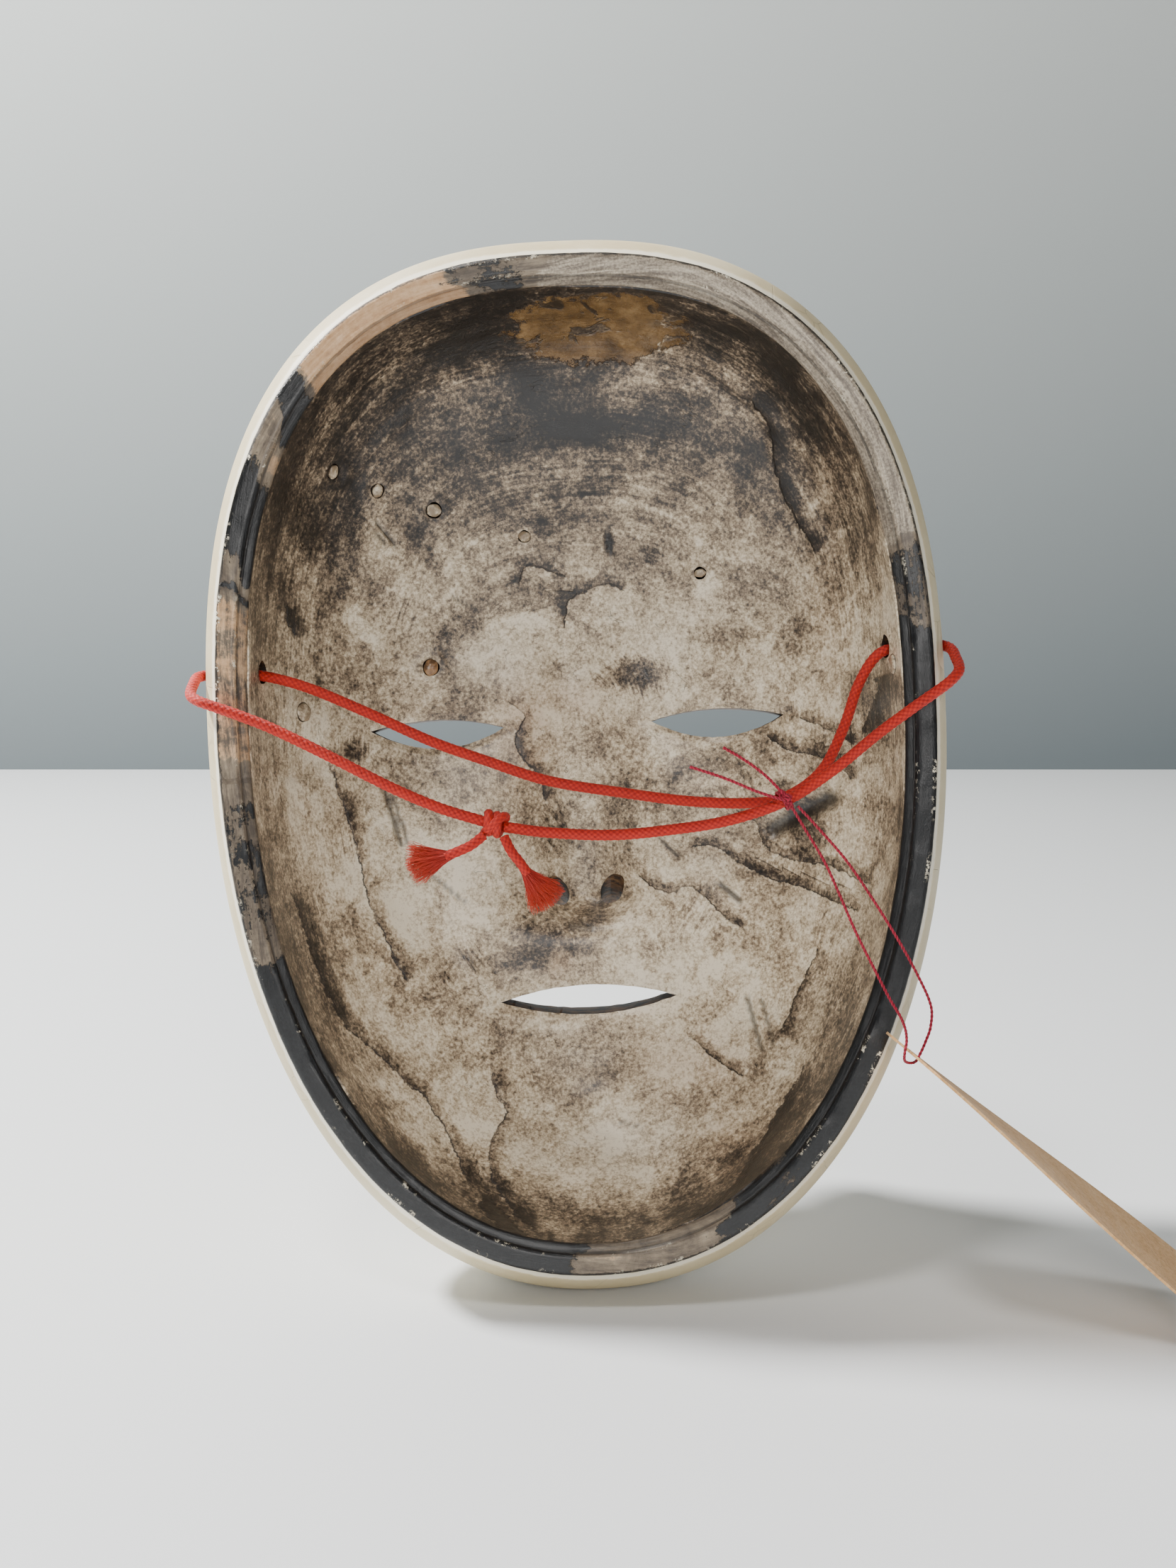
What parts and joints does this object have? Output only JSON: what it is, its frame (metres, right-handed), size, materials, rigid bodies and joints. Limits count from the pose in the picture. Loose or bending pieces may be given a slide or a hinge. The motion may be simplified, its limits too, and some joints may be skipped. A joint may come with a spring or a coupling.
{
  "type": "noh mask",
  "caption": "Carved wooden noh mask seen with its lacquered hollow, braided red tie cord with tasselled knot, and a paper tag on a thread.",
  "frame": {"origin": "middle of the open back of the mask, in the plane of its rim, where the wearer's face goes", "axes": "+Z towards the crown, +Y the way the carved face looks, -Y out of the open back, +X to the right when looking into the hollow"},
  "size_m": [0.196, 0.0883, 0.2166],
  "materials": {
    "lacquered_wood": "satin",
    "filling_wood": "satin",
    "red_silk": "satin",
    "crimson_silk": "satin",
    "kraft_paper": "matte"
  },
  "bodies": {
    "root": {"mask_shell": "lacquered_wood", "hole_plug_left": "filling_wood", "hole_plug_right": "filling_wood", "wood_peg_1": "filling_wood", "wood_peg_2": "filling_wood", "wood_peg_3": "filling_wood", "wood_peg_4": "filling_wood", "wood_peg_5": "filling_wood", "wood_peg_6": "filling_wood", "mask_cord": "red_silk", "cord_knot": "red_silk", "thread_band": "crimson_silk", "thread_knot": "crimson_silk", "thread_end_upper": "crimson_silk", "thread_end_lower": "crimson_silk"},
    "left_tail": {"cord_tail_left": "red_silk", "tassel_left": "red_silk"},
    "right_tail": {"cord_tail_right": "red_silk", "tassel_right": "red_silk"},
    "tag": {"tag_thread": "crimson_silk", "paper_tag": "kraft_paper"}
  },
  "joints": [
    {"name": "left_tail_swing", "type": "hinge", "parent": "root", "child": "left_tail", "pos_m": [-0.0169, -0.0022, -0.0111], "axis": [0, 1, 0], "range_deg": [-12, 12]},
    {"name": "right_tail_swing", "type": "hinge", "parent": "root", "child": "right_tail", "pos_m": [-0.0169, -0.0022, -0.0111], "axis": [0, 1, 0], "range_deg": [-12, 12]},
    {"name": "tag_lift", "type": "hinge", "parent": "root", "child": "tag", "pos_m": [0.0404, -0.0054, -0.0084], "axis": [-1, 0, 0], "range_deg": [0, 35]}
  ]
}
